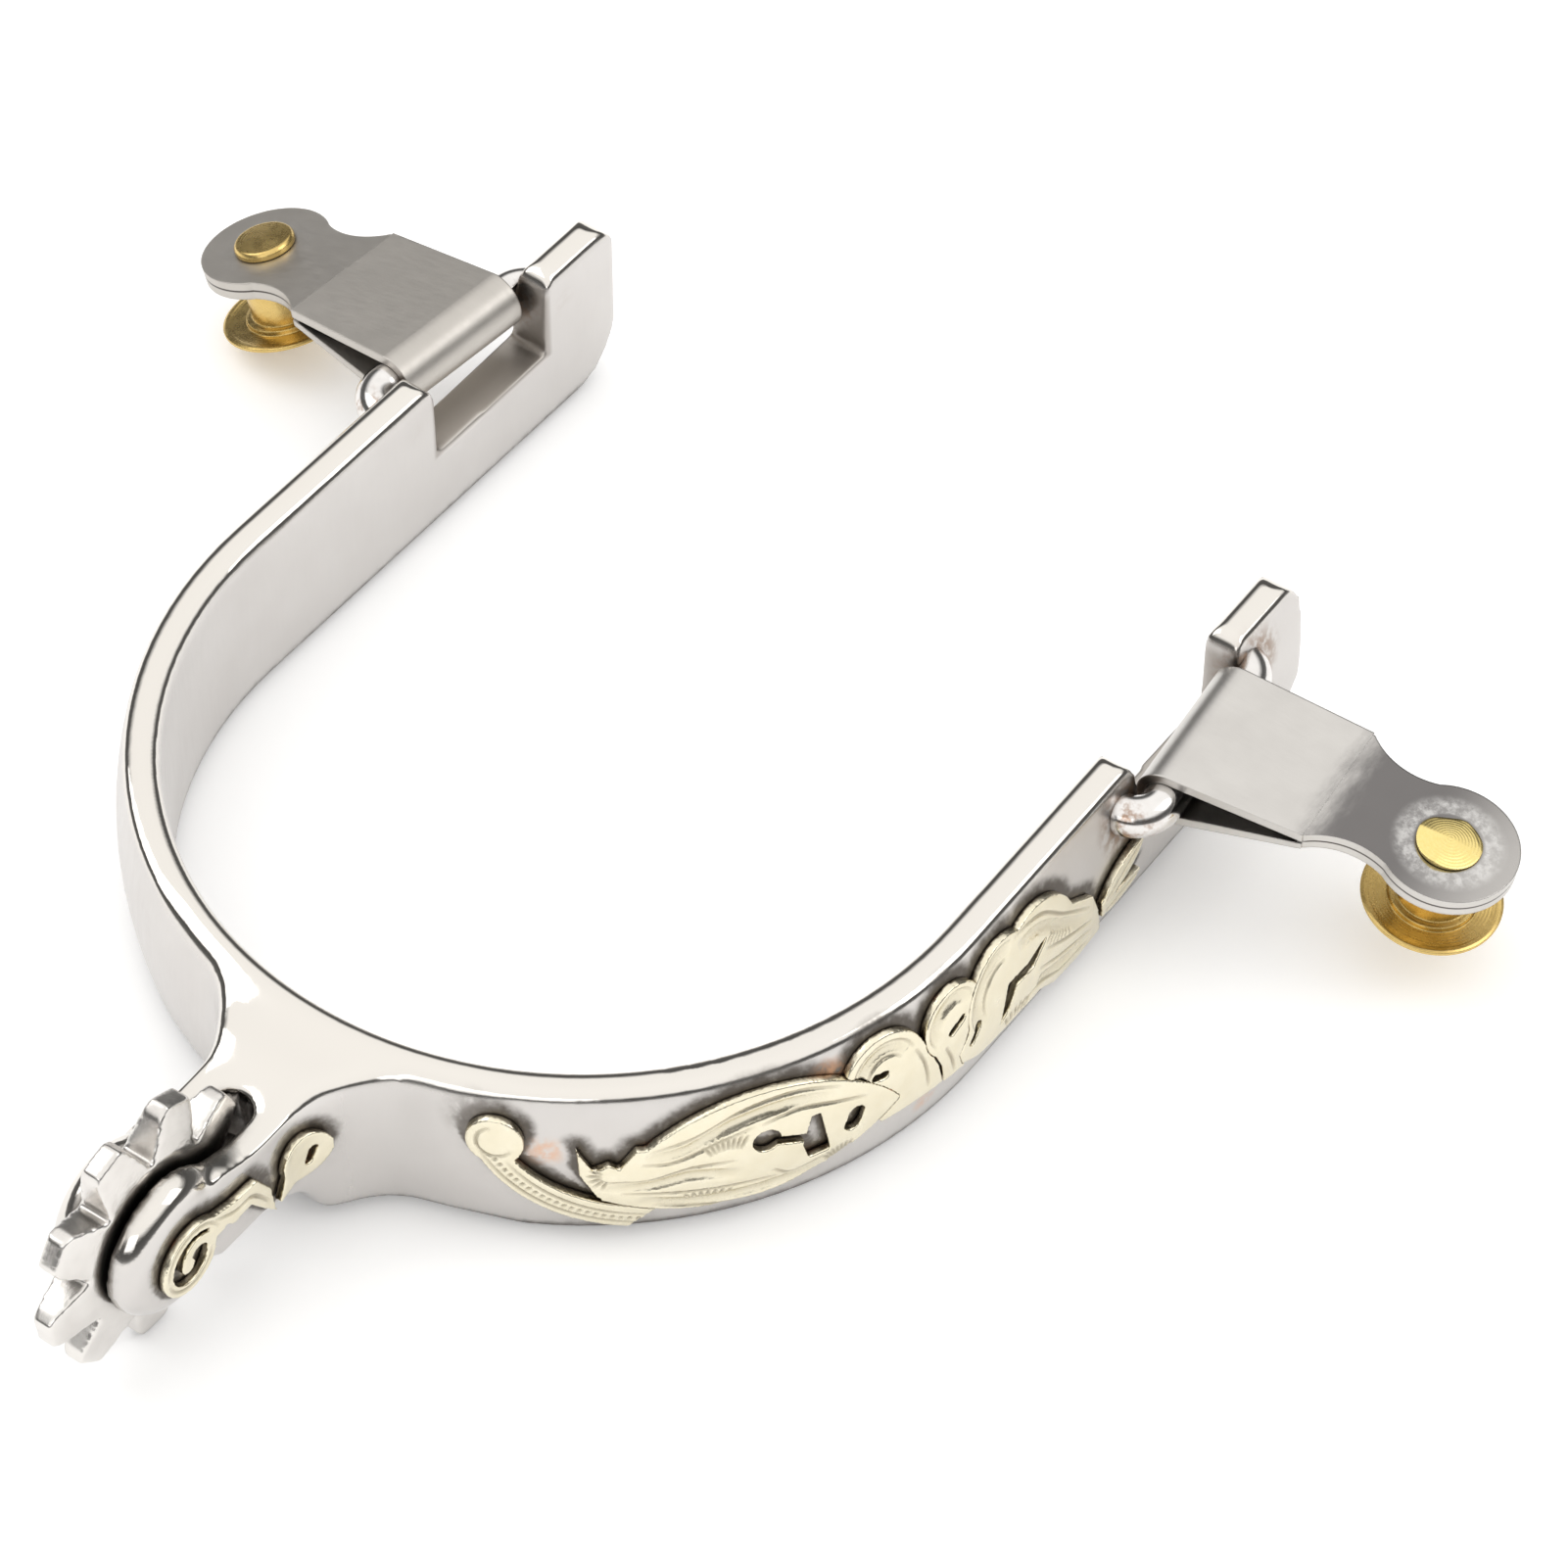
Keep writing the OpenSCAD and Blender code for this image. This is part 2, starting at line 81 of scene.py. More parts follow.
INNER_RADIUS = 37.2
MID_THICKNESS = 4.4
HALF_HEIGHT = 9.0
CROWN = 1.2
EDGE_ROUND = 1.3
TOE_IN = math.radians(1.1)
OVERLAY = 0.8
HINGE = (42.1, 33.1, 5.15)
ROD_TOE_IN = math.radians(6.0)
KNUCKLE_RADIUS = 2.85
SHOULDER_REACH = 12.9
BUTTON_REACH = 23.8
LOBE_BEND = math.radians(6.0)
SHEET = 0.9
STRAP_GAP = 5.6
FLANGE_RADIUS = 6.35
HEAD_RADIUS = 2.95
NECK_RADIUS = 3.3
CROWN_RADIUS = (HALF_HEIGHT ** 2 + CROWN ** 2) / (2 * CROWN)
NOTCH_MIDDLE = HINGE[1]
EAR_FACE = 4.8

# Spacing of the points that a cutting stroke is turned into, in millimetres.
STROKE_STEP = 0.1
# Height of the rivet head over the hanger, in millimetres.
HEAD_HEIGHT = 0.9


def lobe_frame(side, rest_deg):
    """Matrix of a hanger's round end: origin at the button's centre on the upper face, millimetres."""
    swing = Matrix.Rotation(-math.radians(rest_deg), 4, "Y")
    bend = Matrix.Rotation(LOBE_BEND, 4, "Y")
    hinge = Matrix.Translation(HINGE) @ Matrix.Rotation(ROD_TOE_IN, 4, "Z")
    flat = Matrix.Translation((SHOULDER_REACH, 0, KNUCKLE_RADIUS - 0.05))
    out = Matrix.Translation((BUTTON_REACH - SHOULDER_REACH, 0, 0))
    mirror = Matrix.Diagonal((side, 1, 1, 1))
    return mirror @ hinge @ swing @ flat @ bend @ out


LOBES = {"right": lobe_frame(1, -2.0), "left": lobe_frame(-1, -12.5)}

# ---- shader building -----------------------------------------------------------------------


class Shader:
    """A small builder for one node material. Positions are object coordinates in millimetres."""

    def __init__(self, name):
        self.material = bpy.data.materials.new(name)
        self.material.use_nodes = True
        self.tree = self.material.node_tree
        self.surface = self.tree.nodes["Principled BSDF"]
        coords = self.tree.nodes.new("ShaderNodeTexCoord")
        self.position = self.scaled(coords.outputs["Object"], 1 / MM)
        geometry = self.tree.nodes.new("ShaderNodeNewGeometry")
        self.normal = geometry.outputs["Normal"]

    def feed(self, socket, value):
        if isinstance(value, bpy.types.NodeSocket):
            self.tree.links.new(value, socket)
        else:
            socket.default_value = value

    def vector(self, operation, a, b=None):
        n = self.tree.nodes.new("ShaderNodeVectorMath")
        n.operation = operation
        self.feed(n.inputs[0], a)
        if b is not None:
            self.feed(n.inputs[1], b)
        gives_number = operation in ("DOT_PRODUCT", "LENGTH", "DISTANCE")
        return n.outputs["Value" if gives_number else "Vector"]

    def math(self, operation, a, b=0.0, c=0.0, clamp=False):
        n = self.tree.nodes.new("ShaderNodeMath")
        n.operation = operation
        n.use_clamp = clamp
        for socket, value in zip(n.inputs, (a, b, c)):
            self.feed(socket, value)
        return n.outputs[0]

    def split(self, vector):
        n = self.tree.nodes.new("ShaderNodeSeparateXYZ")
        self.feed(n.inputs[0], vector)
        return n.outputs

    def scaled(self, vector, factor):
        n = self.tree.nodes.new("ShaderNodeVectorMath")
        n.operation = "SCALE"
        self.feed(n.inputs[0], vector)
        self.feed(n.inputs["Scale"], factor)
        return n.outputs["Vector"]

    def folded(self):
        """The position with the left side folded on to the right."""
        x, y, z = self.split(self.position)
        n = self.tree.nodes.new("ShaderNodeCombineXYZ")
        self.feed(n.inputs[0], self.math("ABSOLUTE", x))
        self.feed(n.inputs[1], y)
        self.feed(n.inputs[2], z)
        return n.outputs[0]

    def attribute(self, name):
        """A number that the mesh holds at each of its points."""
        n = self.tree.nodes.new("ShaderNodeAttribute")
        n.attribute_name = name
        return n.outputs["Fac"]

    def smooth(self, value, low, high):
        """0 at low, 1 at high, smooth in between. low may be above high."""
        n = self.tree.nodes.new("ShaderNodeMapRange")
        n.interpolation_type = "SMOOTHSTEP"
        flip = low > high
        self.feed(n.inputs["Value"], value)
        n.inputs["From Min"].default_value = min(low, high)
        n.inputs["From Max"].default_value = max(low, high)
        n.inputs["To Min"].default_value = 1.0 if flip else 0.0
        n.inputs["To Max"].default_value = 0.0 if flip else 1.0
        return n.outputs["Result"]

    def both(self, *masks):
        out = masks[0]
        for mask in masks[1:]:
            out = self.math("MULTIPLY", out, mask)
        return out

    def either(self, *masks):
        out = masks[0]
        for mask in masks[1:]:
            out = self.math("MAXIMUM", out, mask)
        return out

    def mix(self, factor, a, b):
        n = self.tree.nodes.new("ShaderNodeMix")
        n.data_type = "RGBA"
        self.feed(n.inputs[0], factor)
        self.feed(n.inputs[6], a if isinstance(a, bpy.types.NodeSocket) else (*a, 1))
        self.feed(n.inputs[7], b if isinstance(b, bpy.types.NodeSocket) else (*b, 1))
        return n.outputs[2]

    def blend(self, factor, a, b):
        """The same for plain numbers."""
        n = self.tree.nodes.new("ShaderNodeMix")
        n.data_type = "FLOAT"
        self.feed(n.inputs[0], factor)
        self.feed(n.inputs[2], a)
        self.feed(n.inputs[3], b)
        return n.outputs[0]

    def noise(self, scale, detail=2.0, roughness=0.5, stretch=(1, 1, 1)):
        """Noise whose features are about 1/scale mm across, stretched along each axis."""
        stretched = self.vector("MULTIPLY", self.position, stretch)
        n = self.tree.nodes.new("ShaderNodeTexNoise")
        self.feed(n.inputs["Vector"], stretched)
        n.inputs["Scale"].default_value = scale
        n.inputs["Detail"].default_value = detail
        n.inputs["Roughness"].default_value = roughness
        return n.outputs["Fac"]

    def crevice(self, reach_mm, power=1.0):
        """1 in a tight corner, 0 on open faces."""
        n = self.tree.nodes.new("ShaderNodeAmbientOcclusion")
        n.samples = 8
        n.inputs["Distance"].default_value = reach_mm * MM
        return self.math("POWER", self.math("SUBTRACT", 1.0, n.outputs["AO"], clamp=True), power)

    def near(self, point_mm, inner, outer):
        """1 within inner mm of a point, fading to 0 at outer."""
        return self.smooth(self.vector("DISTANCE", self.position, tuple(point_mm)), outer, inner)

    def along(self, origin_mm, direction):
        """Distance from a point, measured along a direction."""
        offset = self.vector("SUBTRACT", self.position, tuple(origin_mm))
        return self.vector("DOT_PRODUCT", offset, tuple(direction))

    def bump(self, height, strength, distance_mm, normal=None):
        n = self.tree.nodes.new("ShaderNodeBump")
        self.feed(n.inputs["Height"], height)
        n.inputs["Strength"].default_value = strength
        n.inputs["Distance"].default_value = distance_mm * MM
        if normal is not None:
            self.feed(n.inputs["Normal"], normal)
        return n.outputs["Normal"]

    def soft_edges(self, radius_mm):
        n = self.tree.nodes.new("ShaderNodeBevel")
        n.samples = 6
        n.inputs["Radius"].default_value = radius_mm * MM
        return n.outputs["Normal"]

    def finish(self, colour, roughness, normal, metallic=1.0):
        self.feed(self.surface.inputs["Base Color"], colour)
        self.feed(self.surface.inputs["Roughness"], roughness)
        self.feed(self.surface.inputs["Metallic"], metallic)
        self.feed(self.surface.inputs["Normal"], normal)
        return self.material


def wear(s):
    """Fine scratches and small dents as one height."""
    scratches = s.noise(1.1, 4.0, 0.7, (1.0, 1.0, 9.0))
    dents = s.noise(0.45, 1.0, 0.4)
    return s.math("ADD", s.math("MULTIPLY", scratches, 0.35), dents)


# ---- materials -----------------------------------------------------------------------------


def notch_mask(s, x, y, z):
    """The dull ground faces inside the two hinge notches."""
    from_middle = s.math("ABSOLUTE", s.math("SUBTRACT", y, NOTCH_MIDDLE))
    across = s.math("ABSOLUTE", x)
    return s.both(
        s.smooth(from_middle, 8.8, 8.2), s.smooth(z, 8.2, 6.5),
        s.smooth(z, -0.6, -0.1), s.smooth(across, 35.0, 36.0))


def staple_feet(s):
    """Where the staples' feet are brazed to the band."""
    rear = s.smooth(s.vector("DISTANCE", s.folded(), (41.0, 22.4, 5.0)), 4.6, 1.6)
    front = s.smooth(s.vector("DISTANCE", s.folded(), (40.4, 43.6, 5.0)), 4.6, 1.6)
    return s.either(rear, front)


def solder_stains(s):
    """Copper-coloured solder beside the first curl, above the broad leaf and below the scrolls."""
    return s.either(
        s.near((22.4, -36.0, 3.0), 0.8, 2.4), s.near((38.6, -17.0, 6.0), 0.8, 2.8),
        s.near((36.4, -21.2, -4.6), 0.5, 2.0), s.near((41.6, -7.0, -5.2), 0.5, 2.0))


def band_material():
    """Cast steel: polished edges, satin faces with a painted sheen on upward faces, painted shade in the
    corners, browned notches and dark soil round the overlay.
    """
    s = Shader("cast_steel")
    x, y, z = s.split(s.position)
    top = s.smooth(s.split(s.normal)[2], 0.25, 0.75)
    shank = s.smooth(y, -42.0, -46.0)
    polished = s.either(top, shank)
    grain = s.noise(2.4, 3.0, 0.6, (1.0, 1.0, 0.12))
    cloud = s.noise(0.12, 2.0, 0.5)
    satin = s.math("ADD", 0.25, s.math("MULTIPLY", grain, 0.14))
    roughness = s.blend(polished, satin, 0.07)
    steel = s.mix(cloud, (0.58, 0.555, 0.535), (0.66, 0.64, 0.62))
    # Upward faces painted lighter: a painted sheen, over the real polish that the roughness gives them.
    steel = s.mix(top, steel, (0.73, 0.70, 0.655))
    # Painted shade: every tight corner darkened by occlusion, thickest round the overlay and in the rowel
    # slot, plus real soil round the overlay, widest above each piece.
    corner = s.crevice(2.4, 0.9)
    patchy = s.noise(0.9, 3.0, 0.6)
    soil_and_shade = s.smooth(s.math("MULTIPLY", corner, s.math("ADD", patchy, 0.5)), 0.08, 0.46)
    halo = s.math("MULTIPLY", s.attribute("soil_and_shade"), s.math("ADD", patchy, 0.45))
    soil_and_shade = s.either(soil_and_shade, s.smooth(halo, 0.12, 0.95))
    # Painted shade in the corners and real soil round the overlay, mixed in as one near-black colour.
    colour = s.mix(s.math("MULTIPLY", soil_and_shade, 0.9), steel, (0.075, 0.062, 0.05))
    in_notch = notch_mask(s, x, y, z)
    braze = s.both(staple_feet(s), s.smooth(patchy, 0.36, 0.62))
    colour = s.mix(s.math("MULTIPLY", in_notch, 0.55), colour, (0.30, 0.265, 0.235))
    colour = s.mix(s.math("MULTIPLY", braze, 0.8), colour, (0.27, 0.165, 0.10))
    stains = s.both(solder_stains(s), s.smooth(patchy, 0.30, 0.60))
    colour = s.mix(s.math("MULTIPLY", stains, 0.75), colour, (0.70, 0.40, 0.24))
    smudge = s.both(s.near((16.5, -38.4, 6.2), 1.2, 3.6), s.smooth(patchy, 0.25, 0.6))
    colour = s.mix(s.math("MULTIPLY", smudge, 0.6), colour, (0.30, 0.28, 0.26))
    roughness = s.blend(s.either(soil_and_shade, in_notch, braze), roughness, 0.42)
    return s.finish(colour, roughness, s.bump(wear(s), 0.10, 0.12))


def rowel_material():
    """Cast steel ground across each point, with painted shade darkening the gaps."""
    s = Shader("rowel_steel")
    grind = s.noise(1.6, 4.0, 0.7, (6.0, 0.5, 0.5))
    cloud = s.noise(0.35, 2.0, 0.5)
    steel = s.mix(cloud, (0.62, 0.59, 0.56), (0.82, 0.80, 0.77))
    soil_and_shade = s.smooth(s.crevice(2.6, 1.0), 0.25, 0.75)
    # Painted shade: the gaps between the points darkened by occlusion.
    colour = s.mix(s.math("MULTIPLY", soil_and_shade, 0.8), steel, (0.10, 0.085, 0.07))
    roughness = s.math("ADD", 0.10, s.math("MULTIPLY", grind, 0.22))
    normal = s.bump(s.math("ADD", grind, s.noise(0.5, 2.0)), 0.25, 0.10)
    return s.finish(colour, roughness, normal)


def rod_material():
    """Polished wire with brown brazing near both feet and painted shade where it meets other parts."""
    s = Shader("rod_steel")
    parts = s.split(s.position)
    patchy = s.noise(0.8, 3.0, 0.6)
    foot = s.smooth(s.math("ABSOLUTE", s.math("SUBTRACT", parts[1], NOTCH_MIDDLE)), 9.4, 12.0)
    soil_and_shade = s.smooth(s.crevice(1.6, 1.0), 0.2, 0.7)
    colour = s.mix(patchy, (0.70, 0.68, 0.66), (0.82, 0.80, 0.78))
    colour = s.mix(s.both(foot, s.smooth(patchy, 0.42, 0.66)), colour, (0.34, 0.22, 0.15))
    # Painted shade: the wire darkened by occlusion where it runs into other parts.
    colour = s.mix(s.math("MULTIPLY", soil_and_shade, 0.8), colour, (0.12, 0.09, 0.07))
    roughness = s.blend(soil_and_shade, 0.14, 0.45)
    return s.finish(colour, roughness, s.bump(wear(s), 0.12, 0.10))


def hanger_material(side):
    """Satin sheet: a seam between the two leaves, a buffed dark patch, a bright ring at the rivet and
    painted shade in its corners.
    """
    s = Shader("sheet_steel_" + side)
    lobe = LOBES[side]
    centre = lobe.translation
    out = (lobe.to_3x3() @ Vector((1, 0, 0))).normalized()
    up = (lobe.to_3x3() @ Vector((0, 0, 1))).normalized()
    outwards = s.along(centre, out)
    height = s.along(centre, up)
    facing = s.vector("DOT_PRODUCT", s.normal, tuple(up))
    distance = s.vector("DISTANCE", s.position, tuple(centre))
    grain = s.noise(2.8, 4.0, 0.65, (0.16, 1.0, 0.6))
    cloud = s.noise(0.25, 2.0, 0.5)
    tones = {
        "right": ((0.56, 0.54, 0.515), (0.66, 0.64, 0.61)),
        "left": ((0.50, 0.475, 0.44), (0.58, 0.55, 0.51)),
    }
    colour = s.mix(cloud, *tones[side])
    roughness = s.math("ADD", 0.24 if side == "right" else 0.33, s.math("MULTIPLY", grain, 0.16))
    upper = s.smooth(facing, 0.80, 0.95)
    if side == "right":
        frayed = s.math("MULTIPLY", s.noise(0.8, 4.0, 0.65, (1.0, 0.35, 1.0)), 3.6)
        ragged = s.math("ADD", outwards, frayed)
        buffed = s.both(s.smooth(ragged, -11.0, -6.6), upper)
        faded = s.smooth(outwards, 7.0, -3.5)
        shade = s.both(buffed, s.math("ADD", 0.35, s.math("MULTIPLY", faded, 0.65)))
        colour = s.mix(s.math("MULTIPLY", shade, 0.88), colour, (0.115, 0.108, 0.108))
        roughness = s.blend(shade, roughness, 0.17)
    scuffed = s.smooth(s.noise(1.2, 4.0, 0.7), 0.35, 0.65)
    ring = s.both(
        s.smooth(distance, 3.0, 3.3), s.smooth(distance, 5.4, 4.0),
        upper, s.math("ADD", 0.35, scuffed))
    ring_strength = 0.42 if side == "right" else 0.08
    colour = s.mix(s.math("MULTIPLY", ring, ring_strength), colour, (0.80, 0.79, 0.77))
    seam = s.both(
        s.smooth(s.math("ABSOLUTE", s.math("ADD", height, SHEET)), 0.14, 0.05),
        s.smooth(outwards, -11.2, -10.4), s.smooth(s.math("ABSOLUTE", facing), 0.5, 0.3))
    # Painted shade: corners darkened by occlusion, mixed below with the real dark seam.
    soil_and_shade = s.smooth(s.crevice(1.8, 1.0), 0.25, 0.8)
    dark = s.either(s.math("MULTIPLY", soil_and_shade, 0.7), seam)
    colour = s.mix(dark, colour, (0.09, 0.08, 0.075))
    fine = s.math("ADD", s.math("MULTIPLY", grain, 0.5), s.noise(0.4, 2.0))
    normal = s.bump(fine, 0.16, 0.10, s.soft_edges(0.22))
    return s.finish(colour, roughness, normal)


def brass_material(side):
    """Turned brass with tarnish: turning rings on the flange, a cleaner head and painted shade in its
    corners.
    """
    s = Shader("button_brass_" + side)
    lobe = LOBES[side]
    up = (lobe.to_3x3() @ Vector((0, 0, 1))).normalized()
    height = s.along(lobe.translation, up)
    offset = s.vector("SUBTRACT", s.position, tuple(lobe.translation))
    across = s.vector("SUBTRACT", offset, s.scaled(tuple(up), height))
    radius = s.vector("LENGTH", across)
    rings = s.math("SINE", s.math("MULTIPLY", radius, 21.0))
    patchy = s.noise(0.7, 4.0, 0.65)
    fine = s.noise(3.0, 3.0, 0.6)
    head = s.smooth(height, -0.4, 0.0)
    worn = s.mix(patchy, (0.50, 0.34, 0.11), (0.84, 0.63, 0.25))
    bright = s.mix(fine, (0.82, 0.64, 0.22), (0.92, 0.76, 0.34))
    colour = s.mix(head, worn, bright if side == "right" else worn)
    soil_and_shade = s.smooth(s.crevice(1.4, 1.0), 0.3, 0.85)
    # Painted shade: corners of the button darkened by occlusion.
    colour = s.mix(s.math("MULTIPLY", soil_and_shade, 0.7), colour, (0.14, 0.09, 0.03))
    roughness = s.math("ADD", 0.16, s.math("MULTIPLY", patchy, 0.22))
    relief = s.math("ADD", s.math("MULTIPLY", rings, 0.35), s.math("MULTIPLY", fine, 0.8))
    return s.finish(colour, roughness, s.bump(relief, 0.22, 0.06, s.soft_edges(0.12)))


def overlay_material():
    """Nickel silver with a warm tint: bright top, edges browned by painted shade, copper stains, and
    painted shade in the engraving.
    """
    s = Shader("overlay_silver")
    cut = s.attribute("cut")
    cloud = s.noise(0.5, 3.0, 0.6)
    colour = s.mix(cloud, (0.74, 0.675, 0.50), (0.86, 0.81, 0.66))
    soil_and_shade = s.smooth(s.crevice(0.9, 1.0), 0.22, 0.62)
    copper = s.both(s.smooth(s.noise(0.33, 2.0, 0.5), 0.62, 0.70), s.smooth(soil_and_shade, 0.05, 0.4))
    # Painted shade: the overlay's edges and grooves browned by occlusion; the copper stains sit where this
    # is darkest.
    colour = s.mix(s.math("MULTIPLY", soil_and_shade, 0.72), colour, (0.16, 0.105, 0.065))
    colour = s.mix(s.math("MULTIPLY", copper, 0.8), colour, (0.66, 0.36, 0.22))
    # Painted shade: the engraved grooves darkened by how deep they were cut.
    colour = s.mix(s.math("MULTIPLY", cut, 0.66), colour, (0.20, 0.165, 0.11))
    roughness = s.math("ADD", 0.16, s.math("MULTIPLY", cloud, 0.16))
    roughness = s.math("ADD", roughness, s.math("MULTIPLY", cut, 0.15))
    return s.finish(colour, roughness, s.bump(s.noise(0.9, 3.0, 0.5), 0.6, 0.16))


def floor_material():
    s = Shader("floor_white")
    tone = s.mix(s.noise(0.01, 1.0), (0.925, 0.925, 0.925), (0.935, 0.935, 0.935))
    s.surface.inputs["Emission Color"].default_value = (1, 1, 1, 1)
    s.surface.inputs["Emission Strength"].default_value = 0.22
    return s.finish(tone, 0.9, s.bump(s.noise(0.5), 0.02, 0.05), 0.0)


def paint(node, material):
    """Gives a CAD node that is shown as it is its material."""
    mesh = nodes[node].data
    mesh.materials.clear()
    mesh.materials.append(material)


# ---- pieces softened from the CAD solids ----------------------------------------------------


def link_mesh(name, bm):
    """Turns a BMesh into an object of the scene."""
    mesh = bpy.data.meshes.new(name)
    bm.to_mesh(mesh)
    bm.free()
    obj = bpy.data.objects.new(name, mesh)
    bpy.context.scene.collection.objects.link(obj)
    return obj


def shade_smooth(mesh):
    mesh.polygons.foreach_set("use_smooth", [True] * len(mesh.polygons))


def point_tree(points):
    """A search tree over points, numbered in their order."""
    tree = KDTree(len(points))
    for i, point in enumerate(points):
        tree.insert(point, i)
    tree.balance()
    return tree


def smooth_mesh(obj, passes, group=""):
    """Evens out the mesh, all over or by the weights of a vertex group."""
    modifier = obj.modifiers.new("smooth", "SMOOTH")
    modifier.factor = 0.5
    modifier.iterations = passes
    modifier.vertex_group = group


def bake_modifiers(obj):
    """Replaces the object's mesh by what its modifiers make of it."""
    graph = bpy.context.evaluated_depsgraph_get()
    mesh = bpy.data.meshes.new_from_object(obj.evaluated_get(graph))
    obj.modifiers.clear()
    obj.data = mesh


def soften(name, node, material, voxel_mm, passes):
    """A copy of a CAD node with its edges worn round, which stands for that node."""
    bm = bmesh.new()
    bm.from_mesh(nodes[node].data)
    bmesh.ops.remove_doubles(bm, verts=bm.verts, dist=0.002 * MM)
    piece = link_mesh(name, bm)
    remesh = piece.modifiers.new("remesh", "REMESH")
    remesh.mode = "VOXEL"
    remesh.voxel_size = voxel_mm * MM
    smooth_mesh(piece, passes)
    bake_modifiers(piece)
    piece.data.materials.clear()
    piece.data.materials.append(material)
    shade_smooth(piece.data)
    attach(piece, nodes[node]["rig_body"])
    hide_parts(node)
    return piece


def step(value, low, high):
    """0 at low, 1 at high, smooth in between."""
    t = min(1.0, max(0.0, (value - low) / (high - low)))
    return t * t * (3 - 2 * t)


def crowned_radius(z, grow=0.0):
    """Radius of the band's crowned outer face at height z, swollen by grow, in millimetres."""
    rise = math.sqrt(CROWN_RADIUS ** 2 - z * z)
    return INNER_RADIUS + MID_THICKNESS + grow - CROWN_RADIUS + rise


def face_radius(z):
    """The same for the bare band, with its long edges rounded."""
    corner = HALF_HEIGHT - EDGE_ROUND
    over = min(abs(z) - corner, EDGE_ROUND)
    if over <= 0:
        return crowned_radius(z)
    return crowned_radius(corner) - EDGE_ROUND + math.sqrt(EDGE_ROUND ** 2 - over * over)


def blend_web(body):
    """Runs the shank into the band with soft fillets, as the casting does.

    The CAD web is straight-sided, so near its ends it is first drawn in to the band's crowned
    face. The neck, from inside the ears forward, gets a light touch of the same smoothing.
    """
    group = body.vertex_groups.new(name="web")
    widest = face_radius(0)
    for vertex in body.data.vertices:
        x, y, z = vertex.co / MM
        radius = math.hypot(x, y)
        face = face_radius(z)
        if y < -32 and 6 < abs(x) < 14 and radius > face:
            drawn_in = max(face, radius - (widest - face) * step(abs(x), 6.0, 10.5))
            vertex.co.x *= drawn_in / radius
            vertex.co.y *= drawn_in / radius
        web = step(20.0 - abs(x), 0, 5) * step(-y, 32, 37) * step(y, -49, -44) * step(radius, 38.1, 40.2)
        neck = 0.16 * step(y, -60, -57.5) * step(-y, 44, 46)
        if max(web, neck) > 0.01:
            group.add([vertex.index], max(web, neck), "REPLACE")
    smooth_mesh(body, 150, "web")
    bake_modifiers(body)
    shade_smooth(body.data)
    return body


def note_soil(body, pieces):
    """Stores how much soil has gathered on the band round the overlay: widest above each piece."""
    points = [v.co for piece in pieces for v in piece.data.vertices]
    tree = point_tree(points)
    soil_and_shade = body.data.attributes.new("soil_and_shade", "FLOAT", "POINT")
    for vertex in body.data.vertices:
        if vertex.co.x < 0:
            continue
        nearest, _, distance = tree.find(vertex.co)
        above = step((vertex.co.z - nearest.z) / max(distance, 1e-9), -0.4, 0.6)
        reach = 0.9 + 1.5 * above
        soil_and_shade.data[vertex.index].value = 1 - step(distance / MM, 0.25, reach)


cast_body = blend_web(soften("cast_body", "heel_band", band_material(), 0.30, 4))
soften("rowel_star", "rowel", rowel_material(), 0.24, 4)
silver = overlay_material()
silver_pieces = [
    soften(node.replace("overlay_", "silver_"), node, silver, 0.14, 3)
    for node in sorted(nodes) if node.startswith("overlay_")
]
note_soil(cast_body, silver_pieces)
rods = rod_material()
for node in ("staple_left", "staple_right", "rowel_pin"):
    paint(node, rods)
for hand in ("left", "right"):
    paint("hanger_" + hand, hanger_material(hand))

# ---- brass buttons -------------------------------------------------------------------------


def lathe(profile, steps):
    """A closed solid of revolution about Z from (radius, height) points that start and end on the axis."""
    bm = bmesh.new()
    rows = []
    for radius, height in profile:
        if radius == 0:
            rows.append([bm.verts.new((0, 0, height))])
            continue
        turn = [2 * math.pi * i / steps for i in range(steps)]
        rows.append([bm.verts.new((radius * math.cos(a), radius * math.sin(a), height)) for a in turn])
    for low, high in zip(rows, rows[1:]):
        for i in range(steps):
            j = (i + 1) % steps
            ring = [low[i % len(low)], low[j % len(low)], high[j % len(high)], high[i % len(high)]]
            bm.faces.new(list(dict.fromkeys(ring)))
    bmesh.ops.recalc_face_normals(bm, faces=bm.faces)
    return bm


def towards(corner, other, radius):
    """A point on the way from a corner to its neighbour, at most half-way."""
    return corner + (other - corner).normalized() * min(radius, (other - corner).length / 2)


def rounded(profile, radius, steps=4):
    """The profile with each inner corner replaced by a short arc."""
    out = [profile[0]]
    for before, corner, after in zip(profile, profile[1:], profile[2:]):
        corner = Vector(corner)
        start = towards(corner, Vector(before), radius)
        end = towards(corner, Vector(after), radius)
        for i in range(steps + 1):
            t = i / steps
            p = start * (1 - t) ** 2 + corner * 2 * t * (1 - t) + end * t * t
            out.append((p.x, p.y))
    out.append(profile[-1])
    return out


def grind(bm, tilt_deg, around_deg, depth):
    """Grinds a flat facet off the head, tilted and turned, through depth mm on the stud's axis."""
    normal = Vector((math.sin(math.radians(tilt_deg)), 0, math.cos(math.radians(tilt_deg))))
    normal.rotate(Matrix.Rotation(math.radians(around_deg), 3, "Z"))
    geometry = bm.verts[:] + bm.edges[:] + bm.faces[:]
    cut = bmesh.ops.bisect_plane(
        bm, geom=geometry, plane_co=(0, 0, depth), plane_no=normal, clear_outer=True)
    edges = [e for e in cut["geom_cut"] if isinstance(e, bmesh.types.BMEdge)]
    bmesh.ops.contextual_create(bm, geom=edges)


def add_mesh(name, bm, material, body, smooth_deg):
    """A piece of its own: edges sharper than the angle stay crisp."""
    obj = link_mesh(name, bm)
    mesh = obj.data
    mesh.materials.append(material)
    shade_smooth(mesh)
    mesh.set_sharp_from_angle(angle=math.radians(smooth_deg))
    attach(obj, body)
    return obj


